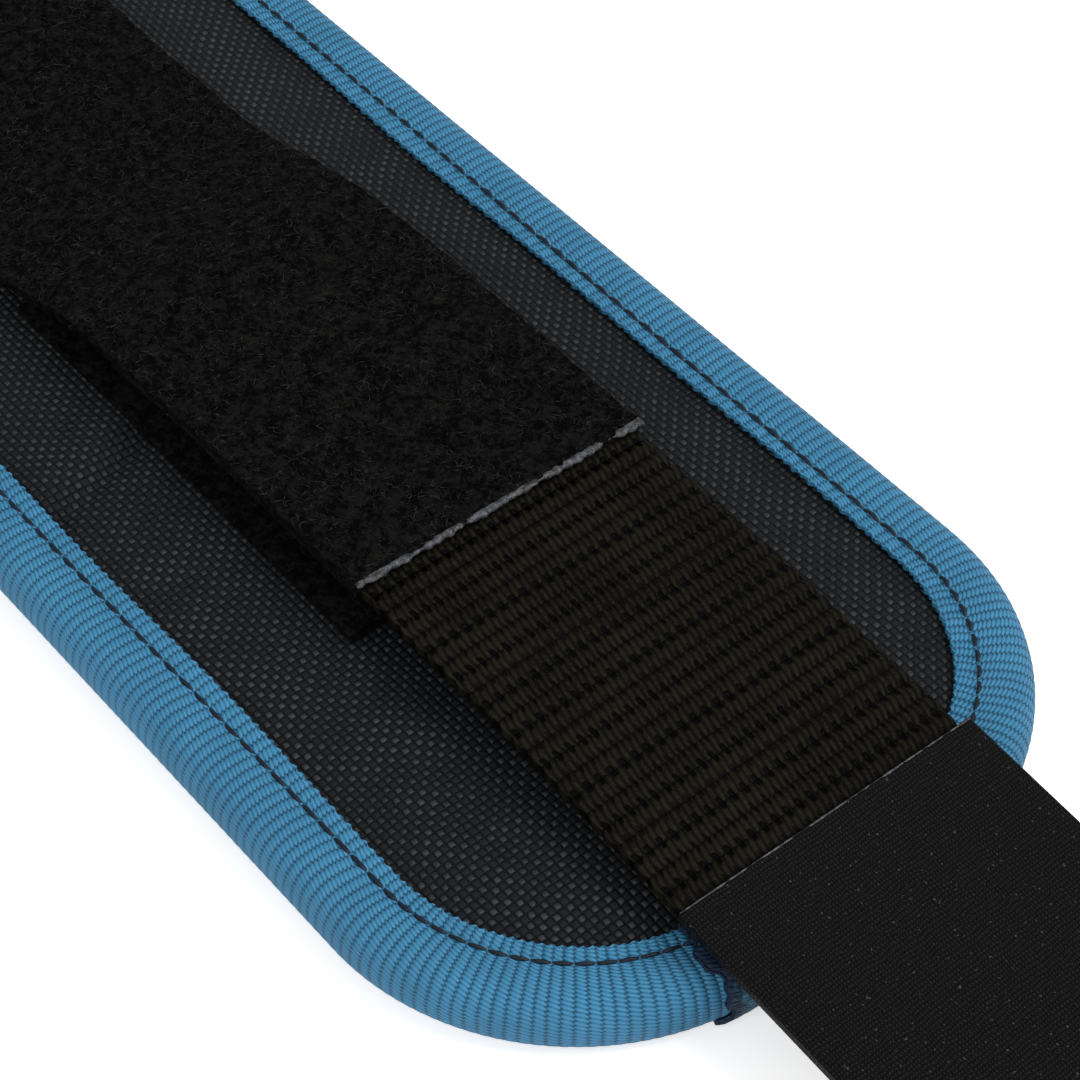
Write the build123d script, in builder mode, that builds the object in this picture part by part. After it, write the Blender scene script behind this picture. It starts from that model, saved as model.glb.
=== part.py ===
"""A padded gait belt, opened out flat with its outer face up.

+X runs along the belt towards the hook-and-loop tail, +Y across it, +Z up.
The origin is under the middle of the pad, on the face that the wearer feels.
All sizes are in millimetres.
"""

import os
from math import asin, degrees

from build123d import *

os.makedirs("parts", exist_ok=True)

# ---------------------------------------------------------------- driving sizes
# Pad
pad_length = 660.0  # end to end, over the binding
pad_width = 109.0  # edge to edge, over the binding
pad_end_radius = 40.0  # rounded corners at both ends
cover_t = 0.9  # face cloth, lining and binding tape are all this thick
foam_t = 7.8
binding_leg = 11.0  # how far the binding tape reaches in over the face
wing_length = 190.0  # from each fold line to the pad's end
thread_w = 0.8
thread_t = 0.25
seam_inset = 2.8  # from the binding's inner edge to its seam

# Webbing strap and its hook-and-loop tapes
strap_width = 48.0
strap_t = 1.8
tape_overhang = 1.0  # the tapes are this much wider than the webbing, on each side
tape_t = 1.5
loop_length = 162.0
sewn_past_fold = 18.0  # the strap is loose from here to its tail
ramp_length = 32.0  # over this length the loose strap rises off the pad
strap_rise = 5.2
under_hook_t = 1.2
under_hook_length = 58.0
patch_length = 83.0
patch_past_loop = 3.0  # the pad's patch ends this far past the strap's loop tape

# Tail
hook_inset = 8.0  # the hook tape starts this far inside the pad's end
bare_length = 70.0  # bare webbing between the loop tape and the hook tape
tail_length = 190.0
hook_length = 150.0

# Ring and the webbing tab that holds it
tab_length = 55.0  # from the tab's fold to the middle of the ring's bar
tab_taper = 20.0  # where the tab's two layers part to go round the bar
ring_wire = 5.0
ring_slot_length = 22.0
ring_side_gap = 2.0  # between the strap's edges and the ring's sides
ring_corner = 4.0  # centre line radius of the corners, so the bar is straight across the tab

# Hand grips
grip_width = 25.0
grip_height = 45.0
grip_corner = 18.0
sleeve_t = 1.2
long_foot_length = 16.0
foot_strap_gap = 5.0  # between a cross grip's feet and the strap
foot_edge_gap = 1.0  # between a cross grip's feet and the binding
long_grip_span = 116.0  # the grip that runs along the belt
left_grip_from_fold = 95.0
right_grip_from_loop = 45.0
grip_pitch = 105.0  # from the right cross grip to the middle of the long one

# Clearances
joint_gap = 0.3  # each side of a fold, and above a face that folds
fit_gap = 0.1  # foam inside its cover
sleeve_gap = 0.3

# ---------------------------------------------------------------- worked out
pad_t = foam_t + 2 * cover_t
strap_top = pad_t + strap_t
loop_top = strap_top + tape_t
fold_z = loop_top + joint_gap
end_x = pad_length / 2
fold_x = end_x - wing_length
lift_x = fold_x + sewn_past_fold
tape_width = strap_width + 2 * tape_overhang
loop_end_x = end_x - hook_inset - bare_length
loop_start_x = loop_end_x - loop_length
patch_end_x = loop_end_x + patch_past_loop
free_z = pad_t + strap_rise  # underside of the loose strap past its ramp
tail_x = loop_end_x + bare_length / 2
tail_z = free_z + strap_t + tape_t + joint_gap / 2
hook_start = bare_length / 2
tail_slope = degrees(asin((free_z - fit_gap) / tail_length))
right_grip_x = loop_start_x - right_grip_from_loop
long_grip_x = right_grip_x - grip_pitch
left_grip_x = -(fold_x + left_grip_from_fold)
cross_grip_span = pad_width - 2 * (binding_leg + foot_edge_gap)
cross_foot_length = (cross_grip_span - strap_width) / 2 - foot_strap_gap
tab_mid_z = pad_t + strap_t / 2
tab_fold_x = -(end_x + 3.0)
tab_fold_z = tab_mid_z + strap_t + joint_gap
ring_bar_reach = ring_slot_length + ring_wire  # between the two bars' centre lines
tab_slope = degrees(asin((tab_mid_z - ring_wire / 2) / (tab_length + ring_bar_reach)))
bar_clear_r = ring_wire / 2 + joint_gap


def keep(piece, name):
    """Label a finished piece and write it to its own file."""
    piece.part.label = name
    export_step(piece.part, f"parts/{name}.step")


def slab(x0, x1, width, z0, thickness):
    """A flat strip along the belt, on its centre line."""
    with BuildPart() as strip:
        with BuildSketch(Plane.XY.offset(z0)):
            with Locations(((x0 + x1) / 2, 0)):
                Rectangle(x1 - x0, width)
        extrude(amount=thickness)
    return strip


# ---------------------------------------------------------------- pad
# The pad is three panels. The middle one ends at both fold lines, and each wing
# runs from its fold line to a rounded end.
def panel_outline(side, inset, past_fold=False):
    """Outline of one panel: side is -1 for the left wing, 0 for the middle, 1 for the right wing."""
    inner = fold_x + (-binding_leg if past_fold else joint_gap)
    outer = end_x - inset
    with BuildSketch() as outline:
        if side == 0:
            Rectangle(2 * (fold_x - joint_gap), pad_width - 2 * inset)
        else:
            with Locations((side * (inner + outer) / 2, 0)):
                Rectangle(outer - inner, pad_width - 2 * inset)
            corners = outline.vertices().group_by(Axis.X)[-1 if side > 0 else 0]
            fillet(corners, max(pad_end_radius - inset, 1.0))
    return outline.sketch


def panel_plate(side, inset, z0, thickness):
    """A flat plate of one panel's outline."""
    with BuildPart() as plate:
        with BuildSketch(Plane.XY.offset(z0)):
            add(panel_outline(side, inset))
        extrude(amount=thickness)
    return plate


def panel_binding(side):
    """Tape folded round the panel's edge, with a leg on the face and one on the lining."""
    with BuildPart() as tape:
        with BuildSketch():
            add(panel_outline(side, 0))
            add(panel_outline(side, binding_leg, past_fold=True), mode=Mode.SUBTRACT)
        extrude(amount=pad_t)
        with BuildSketch(Plane.XY.offset(cover_t)):
            add(panel_outline(side, cover_t, past_fold=True))
        extrude(amount=foam_t, mode=Mode.SUBTRACT)
    return tape


def panel_seam(side):
    """Line of lockstitch along the binding's inner edge, clear of the strap that crosses it."""
    inset = binding_leg - seam_inset
    with BuildPart() as seam:
        with BuildSketch(Plane.XY.offset(pad_t)):
            add(panel_outline(side, inset - thread_w / 2))
            add(panel_outline(side, inset + thread_w / 2, past_fold=True), mode=Mode.SUBTRACT)
            if side < 0:
                with Locations((-end_x, 0)):
                    Rectangle(4 * binding_leg, strap_width + 2, mode=Mode.SUBTRACT)
        extrude(amount=thread_t)
    return seam


for side, panel in ((-1, "left"), (0, "centre"), (1, "right")):
    keep(panel_plate(side, binding_leg, 0, cover_t), f"{panel}_lining")
    keep(panel_plate(side, cover_t + fit_gap, cover_t, foam_t), f"{panel}_foam")
    keep(panel_plate(side, binding_leg, cover_t + foam_t, cover_t), f"{panel}_face")
    keep(panel_binding(side), f"{panel}_binding")
    keep(panel_seam(side), f"{panel}_binding_seam")

# ---------------------------------------------------------------- strap on the pad
# One length of webbing lies along the pad and is sewn to it. It is in three
# pieces here because it folds with the pad.
keep(slab(tab_fold_x + joint_gap, -(fold_x + joint_gap), strap_width, pad_t, strap_t), "left_strap")
keep(slab(-(fold_x - joint_gap), fold_x - joint_gap, strap_width, pad_t, strap_t), "centre_strap")
keep(slab(fold_x + joint_gap, lift_x - joint_gap, strap_width, pad_t, strap_t), "right_strap")

# Loop tape sewn to the strap's outer face, and a second patch of it on the pad.
keep(slab(loop_start_x, fold_x - joint_gap, tape_width, strap_top, tape_t), "centre_loop_tape")
keep(slab(fold_x + joint_gap, lift_x - joint_gap, tape_width, strap_top, tape_t), "right_loop_tape")
keep(slab(patch_end_x - patch_length, patch_end_x, tape_width, pad_t, tape_t), "pad_loop_patch")


def box_stitch(centre_x, length, width, z0):
    """A box of stitching with a cross in it, on a flat face."""
    diagonal = (length**2 + width**2) ** 0.5 - thread_w
    lean = degrees(asin(width / (length**2 + width**2) ** 0.5))
    with BuildPart() as box:
        with BuildSketch(Plane.XY.offset(z0)):
            with Locations((centre_x, 0)):
                Rectangle(length, width)
                Rectangle(length - 2 * thread_w, width - 2 * thread_w, mode=Mode.SUBTRACT)
                Rectangle(diagonal, thread_w, rotation=lean)
                Rectangle(diagonal, thread_w, rotation=-lean)
        extrude(amount=thread_t)
    return box


stitch_length = 22.0
stitch_width = strap_width - 10.0
left_stitch_x = -(end_x - binding_leg - stitch_length / 2)
centre_stitch_x = (right_grip_x + loop_start_x) / 2
keep(box_stitch(left_stitch_x, stitch_length, stitch_width, strap_top), "left_box_stitch")
keep(box_stitch(centre_stitch_x, stitch_length, stitch_width, strap_top), "centre_box_stitch")


# ---------------------------------------------------------------- loose strap
# Past the lift line the strap is free. It rises off the pad over a short ramp
# and then runs level to the tail's fold.
def ramped_strip(z0, thickness, stop_x, width):
    """A strip that leaves the lift line at height z0 and follows the strap's rise."""
    foot_x = lift_x + joint_gap
    ramp_x = lift_x + ramp_length
    with BuildPart() as strip:
        with BuildSketch(Plane.XZ):
            with BuildLine():
                Polyline(
                    (foot_x, z0),
                    (ramp_x, z0 + strap_rise),
                    (stop_x, z0 + strap_rise),
                    (stop_x, z0 + strap_rise + thickness),
                    (ramp_x, z0 + strap_rise + thickness),
                    (foot_x, z0 + thickness),
                    close=True,
                )
            make_face()
        extrude(amount=width / 2, both=True)
    return strip


keep(ramped_strip(pad_t, strap_t, tail_x - joint_gap, strap_width), "free_strap")
keep(ramped_strip(strap_top, tape_t, loop_end_x, tape_width), "free_loop_tape")
keep(
    slab(loop_end_x - under_hook_length, loop_end_x, strap_width, free_z - under_hook_t, under_hook_t),
    "under_hook_tape",
)

# ---------------------------------------------------------------- tail
# The tail folds back over the loop tape. It is drawn in a plane through its fold
# line that slopes down until the tip lies on the table.
tail_plane = Plane(origin=(tail_x, 0, tail_z), z_dir=(0, 0, 1)).rotated((0, tail_slope, 0))


def tail_strip(start, length, width, top, thickness):
    """A strip of the tail: start is its distance from the fold, top its depth under the fold line."""
    with BuildPart() as strip:
        with BuildSketch(tail_plane.offset(-top)):
            with Locations((start + length / 2, 0)):
                Rectangle(length, width)
        extrude(amount=-thickness)
    return strip


tail_start = 2 * joint_gap
hook_depth = joint_gap / 2
tail_strap = tail_strip(tail_start, tail_length - tail_start, strap_width, hook_depth + tape_t, strap_t)
keep(tail_strap, "tail_strap")
keep(tail_strip(hook_start, hook_length, tape_width, hook_depth, tape_t), "tail_hook_tape")

# ---------------------------------------------------------------- ring and tab
# The strap's other end is doubled back round the ring's bar and sewn to itself.
# Tab and ring slope together until the ring's far bar lies on the table.
tab_origin = (tab_fold_x, 0, tab_mid_z)
tab_plane = Plane(origin=tab_origin, x_dir=(1, 0, 0), z_dir=(0, -1, 0)).rotated((0, -tab_slope, 0))
with BuildPart() as ring_tab:
    with BuildSketch(tab_plane):
        with BuildSketch():
            with Locations((-tab_length, 0)):
                Circle(bar_clear_r + strap_t)
            with Locations((-(tab_length - tab_taper), 0)):
                Rectangle(1, 2 * strap_t)
            make_hull()
        with Locations((-(tab_length - tab_taper) / 2 - joint_gap, 0)):
            Rectangle(tab_length - tab_taper - 2 * joint_gap, 2 * strap_t)
        with BuildSketch(mode=Mode.SUBTRACT):
            with Locations((-tab_length, 0)):
                Circle(bar_clear_r)
            with Locations((-(tab_length - tab_taper * 0.7), 0)):
                Circle(joint_gap)
            make_hull()
    extrude(amount=strap_width / 2, both=True)
keep(ring_tab, "ring_tab")

ring_width = strap_width + 2 * ring_side_gap + ring_wire
ring_plane = Plane(origin=tab_origin, z_dir=(0, 0, 1)).rotated((0, -tab_slope, 0))
with BuildPart() as ring:
    with BuildLine(ring_plane) as ring_path:
        FilletPolyline(
            (-tab_length, -ring_width / 2),
            (-tab_length, ring_width / 2),
            (-(tab_length + ring_bar_reach), ring_width / 2),
            (-(tab_length + ring_bar_reach), -ring_width / 2),
            radius=ring_corner,
            close=True,
        )
    with BuildSketch(Plane(origin=ring_path.line @ 0, z_dir=ring_path.line % 0)):
        Circle(ring_wire / 2)
    sweep()
keep(ring, "ring")


# ---------------------------------------------------------------- hand grips
# Each grip is an arch of webbing with a padded sleeve, sewn down at two feet.
# Its lower ends are round, about the line that it flops over on.
def grip(name, x, along, base_z, span, foot_length):
    """Feet, arch and sleeve of one grip, which runs along the belt or stands across it."""
    run_plane = Plane(origin=(x, 0, 0), x_dir=(1, 0, 0), z_dir=(0, -1, 0))
    across_plane = Plane(origin=(x, 0, 0), x_dir=(0, 1, 0), z_dir=(1, 0, 0))
    if not along:
        run_plane, across_plane = across_plane, run_plane
    half = span / 2
    end_z = base_z + strap_t + joint_gap
    flop_z = end_z + grip_width / 2
    top_z = base_z + grip_height
    with BuildPart() as feet:
        with BuildSketch(run_plane):
            for way in (-1, 1):
                with Locations((way * (half - foot_length / 2), base_z + strap_t / 2)):
                    Rectangle(foot_length, strap_t)
        extrude(amount=grip_width / 2, both=True)
    with BuildPart() as arch:
        with BuildSketch(run_plane):
            with Locations((0, top_z - half)):
                RectangleRounded(span, span, grip_corner)
                inner = span - 2 * strap_t
                RectangleRounded(inner, inner, grip_corner - strap_t, mode=Mode.SUBTRACT)
        extrude(amount=grip_width / 2, both=True)
        with BuildSketch(across_plane):
            with Locations((0, flop_z)):
                Circle(grip_width / 2)
            with Locations((0, (flop_z + top_z) / 2)):
                Rectangle(grip_width, top_z - flop_z)
        extrude(amount=half, both=True, mode=Mode.INTERSECT)
    with BuildPart() as sleeve:
        with BuildSketch(across_plane):
            with Locations((0, top_z - strap_t / 2)):
                hole_w = grip_width + 2 * sleeve_gap
                hole_t = strap_t + 2 * sleeve_gap
                RectangleRounded(hole_w + 2 * sleeve_t, hole_t + 2 * sleeve_t, sleeve_t)
                Rectangle(hole_w, hole_t, mode=Mode.SUBTRACT)
        extrude(amount=half - grip_corner - 1.0, both=True)
    keep(feet, f"{name}_feet")
    keep(arch, f"{name}_webbing")
    keep(sleeve, f"{name}_sleeve")


grip("left_grip", left_grip_x, False, pad_t, cross_grip_span, cross_foot_length)
grip("right_grip", right_grip_x, False, pad_t, cross_grip_span, cross_foot_length)
grip("long_grip", long_grip_x, True, strap_top, long_grip_span, long_foot_length)
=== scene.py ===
import math

import bpy
import numpy as np
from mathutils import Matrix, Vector


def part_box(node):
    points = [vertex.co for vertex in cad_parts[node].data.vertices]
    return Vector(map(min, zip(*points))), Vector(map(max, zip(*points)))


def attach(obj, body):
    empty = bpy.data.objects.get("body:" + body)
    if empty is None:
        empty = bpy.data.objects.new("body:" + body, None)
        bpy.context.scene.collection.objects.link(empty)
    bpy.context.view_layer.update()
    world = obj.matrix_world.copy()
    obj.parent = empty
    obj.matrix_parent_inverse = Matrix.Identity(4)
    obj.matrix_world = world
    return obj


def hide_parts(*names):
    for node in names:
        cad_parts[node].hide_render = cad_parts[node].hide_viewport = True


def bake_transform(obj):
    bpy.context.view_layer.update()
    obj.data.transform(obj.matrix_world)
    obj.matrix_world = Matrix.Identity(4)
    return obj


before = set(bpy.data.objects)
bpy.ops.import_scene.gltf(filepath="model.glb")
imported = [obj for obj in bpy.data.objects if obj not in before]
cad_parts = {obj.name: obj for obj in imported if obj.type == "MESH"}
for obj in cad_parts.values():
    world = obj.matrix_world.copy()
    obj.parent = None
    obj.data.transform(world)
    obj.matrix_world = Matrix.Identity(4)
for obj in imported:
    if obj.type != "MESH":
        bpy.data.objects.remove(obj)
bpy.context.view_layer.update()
MM = 0.001

# ---------------------------------------------------------------- table, lamps and camera
# A plain pale table top, two soft lamps and an even white surround. The camera
# looks down at the pad's tail end, square to neither the belt nor the table.
tape_start = Vector((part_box("tail_hook_tape")[0][0], 0, 0))
camera_reach = Vector((171.1, -183.8, 341.0)) * MM
camera_aim = Vector((-0.526, 0.424, -0.7373))
camera_angle = math.radians(19.0)
table_size = 6.0
table_gap = 0.3 * MM  # keeps the table top clear of the belt's underside


class Wire:
    """A shader socket that sums can be written on."""

    def __init__(self, finish, socket):
        self.finish = finish
        self.socket = socket

    def math(self, operation, *others, first=None):
        """One sum of this socket and others, or of first and this socket."""
        values = [self if first is None else first, *others]
        return self.finish.add("Math", {"operation": operation}, values)

    def __add__(self, other):
        return self.math("ADD", other)

    __radd__ = __add__

    def __mul__(self, other):
        return self.math("MULTIPLY", other)

    __rmul__ = __mul__

    def __sub__(self, other):
        return self.math("SUBTRACT", other)

    def __rsub__(self, other):
        return self.math("SUBTRACT", self, first=other)

    def __truediv__(self, other):
        return self.math("DIVIDE", other)

    def __pow__(self, other):
        return self.math("POWER", other)

    def __abs__(self):
        return self.math("ABSOLUTE")

    def wave(self, pitch, shift=0.0):
        """Sine of this length, one hump to a pitch, so it changes sign from hump to hump."""
        return (self * (math.pi / pitch) + shift).math("SINE")

    def ramp(self, low, high):
        """0 below low, 1 above high, smooth in between."""
        settings = {"interpolation_type": "SMOOTHSTEP"}
        feeds = {"Value": self, "From Min": low, "From Max": high}
        return self.finish.add("MapRange", settings, feeds)


class Finish:
    """A material being put together from its shader nodes."""

    def __init__(self, name, **constants):
        self.material = bpy.data.materials.new(name)
        self.material.use_nodes = True
        tree = self.material.node_tree
        self.nodes, self.links = tree.nodes, tree.links
        self.shader = self.nodes["Principled BSDF"]
        for socket, value in constants.items():
            self.shader.inputs[socket.replace("_", " ")].default_value = value

    def shine(self, level):
        """How strongly the surface mirrors its lamps: low for cloth."""
        self.shader.inputs["Specular IOR Level"].default_value = level
        return self

    def add(self, kind, settings=None, feeds=(), out=0):
        """Any node: its settings first, then what goes into its sockets."""
        node = self.nodes.new("ShaderNode" + kind)
        for key, value in (settings or {}).items():
            setattr(node, key, value)
        pairs = feeds.items() if isinstance(feeds, dict) else enumerate(feeds)
        for key, value in pairs:
            self.feed(node.inputs[key], value)
        return Wire(self, node.outputs[out])

    def feed(self, socket, value):
        """A link from another socket, or a plain value."""
        if isinstance(value, Wire):
            self.links.new(value.socket, socket)
        else:
            socket.default_value = value

    def split(self, coordinates):
        """A place in millimetres, and its three numbers."""
        place = self.add("TexCoord", out=coordinates)
        scaled = self.add("VectorMath", {"operation": "SCALE"}, {0: place, "Scale": 1 / MM})
        parts = self.add("SeparateXYZ", feeds=[scaled])
        outputs = parts.socket.node.outputs
        return scaled, [Wire(self, outputs[k]) for k in range(3)]

    def noise(self, place, pitch, detail=2.0):
        """Soft random numbers about 0.5, with lumps about a pitch wide."""
        return self.add("TexNoise", None, {"Vector": place, "Scale": 1 / pitch, "Detail": detail})

    def mix(self, amount, low, high):
        """A colour between two others."""
        low, high = (c if isinstance(c, Wire) else (*c, 1.0) for c in (low, high))
        return self.add("Mix", {"data_type": "RGBA"}, {0: amount, 6: low, 7: high}, out=2)

    def bump(self, height, depth):
        """Relief of this depth in millimetres for a height of 0 to 1."""
        normal = self.add("Bump", None, {"Height": height, "Distance": depth * MM, "Strength": 1.0})
        self.feed(self.shader.inputs["Normal"], normal)

    def paint(self, socket, value):
        """What varies over the surface, into a socket of the shader."""
        self.feed(self.shader.inputs[socket], value)


def clear_selection():
    """So that an operator acts on nothing but the next new piece."""
    bpy.ops.object.select_all(action="DESELECT")


clear_selection()
bpy.ops.mesh.primitive_plane_add(size=table_size, location=(0, 0, -table_gap))
table = bpy.context.object
table.name = "table_top"
table_finish = Finish("pale table top", Roughness=0.9, Emission_Strength=1.0)
table_finish.paint("Base Color", (0.86, 0.86, 0.86, 1))
rays = table_finish.add("LightPath").socket.node.outputs
seen = Wire(table_finish, rays["Is Camera Ray"]) + Wire(table_finish, rays["Is Glossy Ray"])
glow = table_finish.mix(seen.ramp(0.0, 1.0), (0, 0, 0), (0.5, 0.5, 0.5))
table_finish.paint("Emission Color", glow)
table.data.materials.append(table_finish.material)

world = bpy.data.worlds.new("white surround")
bpy.context.scene.world = world
world.use_nodes = True
world.node_tree.nodes["Background"].inputs["Color"].default_value = (1, 1, 1, 1)
surround = world.node_tree.nodes["Background"].inputs["Strength"]
path = world.node_tree.nodes.new("ShaderNodeLightPath")
shown = world.node_tree.nodes.new("ShaderNodeMapRange")
shown.inputs["To Min"].default_value = 0.55  # what lights the belt
shown.inputs["To Max"].default_value = 1.0  # what the camera sees
world.node_tree.links.new(path.outputs["Is Camera Ray"], shown.inputs["Value"])
world.node_tree.links.new(shown.outputs["Result"], surround)


def lamp(name, place, aim, size, watts):
    """A square soft lamp that points from place to aim."""
    bpy.ops.object.light_add(type="AREA", location=place)
    light = bpy.context.object
    light.name = name
    light.data.size = size
    light.data.energy = watts
    light.rotation_euler = (Vector(aim) - Vector(place)).to_track_quat("-Z", "Y").to_euler()


lamp_aim = (0.2, 0, 0)
lamp("key lamp", (1.1, 0.9, 1.5), lamp_aim, 1.2, 26)
lamp("fill lamp", (0.9, -1.2, 1.1), lamp_aim, 1.4, 12)

bpy.ops.object.camera_add(location=tape_start + camera_reach)
camera = bpy.context.object
camera.rotation_euler = camera_aim.to_track_quat("-Z", "Y").to_euler()
camera.data.angle = camera_angle
camera.data.clip_start = 0.01
bpy.context.scene.camera = camera
bpy.context.scene.view_settings.view_transform = "Standard"

# ---------------------------------------------------------------- foam cores
# Closed-cell foam, one slab for each end of the belt, cut to the pad's outline
# with its edges pressed thin under the binding. They meet in the belt's middle.
binding_hi = Vector(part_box("right_binding")[1])
face_lo, face_hi = (Vector(c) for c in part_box("right_face"))
pad_end = binding_hi.x
half_width = binding_hi.y
pad_top = binding_hi.z
leg = half_width - face_hi.y  # the binding's reach over the face
fold_x = (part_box("centre_face")[1][0] + face_lo.x) / 2
end_radius = 40 * MM
cover = 1.1 * MM  # from the face's outer surface down to the foam
foam_lift = 1.1 * MM  # the foam's underside, over the lining
foam_inset = 2.5 * MM  # the foam ends this far inside the pad's edge
shoulder_drop = 1.25 * MM  # the padding is this much thinner at the seam than in the middle
shoulder_reach = 8 * MM
channel_depth = 0.3 * MM  # the two fold lines are no more than faint dips
channel_width = 5 * MM
crease_x = 208 * MM
crease_depth, crease_swell = 0.95 * MM, 0.75 * MM


def rise(low, high, x):
    """0 below low, 1 above high, smooth in between."""
    t = np.clip((x - low) / (high - low), 0, 1)
    return t * t * (3 - 2 * t)


def edge_distance(x, y):
    """How far a point is inside the pad's outline."""
    beyond_x = np.abs(x) - (pad_end - end_radius)
    beyond_y = np.abs(y) - (half_width - end_radius)
    straight = np.minimum(end_radius - beyond_x, end_radius - beyond_y)
    corner = end_radius - np.hypot(np.maximum(beyond_x, 0), np.maximum(beyond_y, 0))
    return np.where((beyond_x > 0) & (beyond_y > 0), corner, straight)


def width_at(x, inset):
    """Half the pad's width, less an inset, at a distance along it."""
    radius = end_radius - inset
    beyond = np.clip(np.abs(x) - (pad_end - end_radius), 0, radius)
    return half_width - end_radius + np.sqrt(np.maximum(radius**2 - beyond**2, 0))


def face_height(x, y):
    """Outer surface of the face cloth: crowned by the foam, sewn down at the edge, creased once."""
    inside = edge_distance(x, y) - leg
    crown = pad_top - 0.05 * MM - shoulder_drop * np.exp(-np.maximum(inside, -leg) / shoulder_reach)
    channel = channel_depth * np.exp(-(((np.abs(x) - fold_x) / channel_width) ** 2))
    crease_line = crease_x + 3 * MM * np.sin(y / (11 * MM))
    crease = crease_depth * np.exp(-(((x - crease_line) / (1.7 * MM)) ** 2))
    crease = crease - crease_swell * np.exp(-(((x - crease_line + 6 * MM) / (4.2 * MM)) ** 2))
    crease = crease * rise(18 * MM, 30 * MM, -y)
    ripple = 0.12 * MM * np.sin(x / (13 * MM) + 1.3 * np.sin(y / (17 * MM)))
    ripple = ripple + 0.10 * MM * np.sin(x / (29 * MM) - y / (12 * MM))
    return crown - channel - crease + ripple * rise(2 * MM, 14 * MM, inside)


def sheet_of(name, steps, place, flat, thickness=0.0, begin=0.0):
    """A grid laid out by place(s, t), with s and t from 0 to 1.

    Its UV map is flat, in metres, and starts at begin. A thickness goes inwards.
    """
    clear_selection()
    bpy.ops.mesh.primitive_grid_add(x_subdivisions=steps[0], y_subdivisions=steps[1], size=1)
    piece = bpy.context.object
    piece.name = name
    points = np.empty(len(piece.data.vertices) * 3)
    piece.data.vertices.foreach_get("co", points)
    grid = points.reshape(-1, 3) + 0.5
    laid = np.stack(np.broadcast_arrays(*place(grid[:, 0], grid[:, 1])), axis=1)
    piece.data.vertices.foreach_set("co", laid.ravel())
    spread = np.empty(len(piece.data.loops) * 2)
    piece.data.uv_layers[0].data.foreach_get("uv", spread)
    spread = spread.reshape(-1, 2) * np.array(flat) + np.array((begin, 0))
    piece.data.uv_layers[0].data.foreach_set("uv", spread.ravel())
    piece.data.update()
    if thickness:
        wall = piece.modifiers.new("wall", "SOLIDIFY")
        wall.thickness = thickness
        wall.offset = -1
        bpy.ops.object.modifier_apply(modifier=wall.name)
    bpy.ops.object.shade_smooth_by_angle(angle=math.radians(60))
    return piece


def closed(piece):
    """Join a rolled-up grid's two long edges and cap its open ends."""
    clear_selection()
    piece.select_set(True)
    bpy.context.view_layer.objects.active = piece
    bpy.ops.object.mode_set(mode="EDIT")
    bpy.ops.mesh.select_all(action="SELECT")
    bpy.ops.mesh.remove_doubles(threshold=0.001 * MM)
    bpy.ops.mesh.fill_holes(sides=0)
    bpy.ops.mesh.select_all(action="SELECT")
    bpy.ops.mesh.normals_make_consistent(inside=False)
    bpy.ops.object.mode_set(mode="OBJECT")
    return piece


def dress(piece, finish, *nodes):
    """Give a piece its finish, and let it stand for its CAD nodes."""
    piece.data.materials.append(finish.material)
    if nodes:
        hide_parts(*nodes)
    return piece


def fold_with_pad(piece, side):
    """The piece lies on the pad; its transform is baked into its mesh. The fold line's two ends on
    that side are worked out but not used.
    """
    reach = 7 * MM
    start, end = (side * (fold_x - reach), 0, 0), (side * (fold_x + reach), 0, 0)
    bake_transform(piece)
    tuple(start)
    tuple(end)


foam_finish = Finish("closed-cell foam", Roughness=0.85)
place, _ = foam_finish.split("Object")
cells = foam_finish.noise(place, 0.9, 3.0)
foam_finish.paint("Base Color", foam_finish.mix(cells, (0.05, 0.05, 0.055), (0.09, 0.09, 0.1)))
foam_finish.bump(cells, 0.3)
sides = {"left": -1, "right": 1}
half_pad = (pad_end, 2 * half_width)
for name, side in sides.items():

    def foam_place(s, t):
        # t runs up one face, over the middle line and back along the other
        x0, x1 = sorted((0, side * (pad_end - foam_inset)))
        x = x0 + s * (x1 - x0)
        turn = t * 2 * np.pi
        y = np.cos(turn) * width_at(x, foam_inset)
        slab = np.sign(np.sin(turn)) * np.abs(np.sin(turn)) ** 0.35
        top = face_height(x, y) - cover
        return x, y, (top + foam_lift) / 2 + (top - foam_lift) / 2 * slab

    foam = closed(sheet_of(f"{name}_foam_core", (90, 96), foam_place, half_pad))
    dress(foam, foam_finish, f"{name}_foam", "centre_foam")
    fold_with_pad(foam, side)

# ---------------------------------------------------------------- face cloth
# Coarse plain-woven nylon over the foam, its edges under the binding. It dips
# faintly at the two fold lines and is creased across one corner.
face_tuck = 4 * MM  # the cloth goes this far in under the binding
face_thick = 0.7 * MM
face_pitch = 1.13  # mm from yarn to yarn
face_finish = Finish("black ballistic nylon", Roughness=0.5).shine(0.16)
place, (x, y, _) = face_finish.split("Object")
along = x + face_finish.noise(place, 14.0) * 1.2
across = y + face_finish.noise(place, 17.0) * 1.2
cell = along.wave(face_pitch) * across.wave(face_pitch)
pillow = abs(cell) ** 0.6
warp_up = cell.ramp(-0.1, 0.1)
fibre = face_finish.noise(place, 0.22, 3.0)
highlight_patches = face_finish.noise(place, 6.0, 3.0)
# Painted highlight: the warp floats get a lit colour that stands in for the light they catch,
# brighter in random patches.
lit = face_finish.mix(highlight_patches.ramp(0.3, 0.7), (0.010, 0.0125, 0.016), (0.033, 0.036, 0.040))
tone = face_finish.mix(warp_up, (0.0062, 0.0078, 0.0098), lit)
# Painted shade: near black in the gaps between the yarns.
tone = face_finish.mix(pillow.ramp(0.2, 0.8), (0.0012, 0.0015, 0.002), tone)
face_finish.paint("Base Color", tone)
face_finish.paint("Roughness", 0.6 + 0.2 * fibre - 0.28 * warp_up)
face_finish.bump(pillow * (0.4 + 0.6 * warp_up) + 0.12 * fibre, 0.5)
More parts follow.
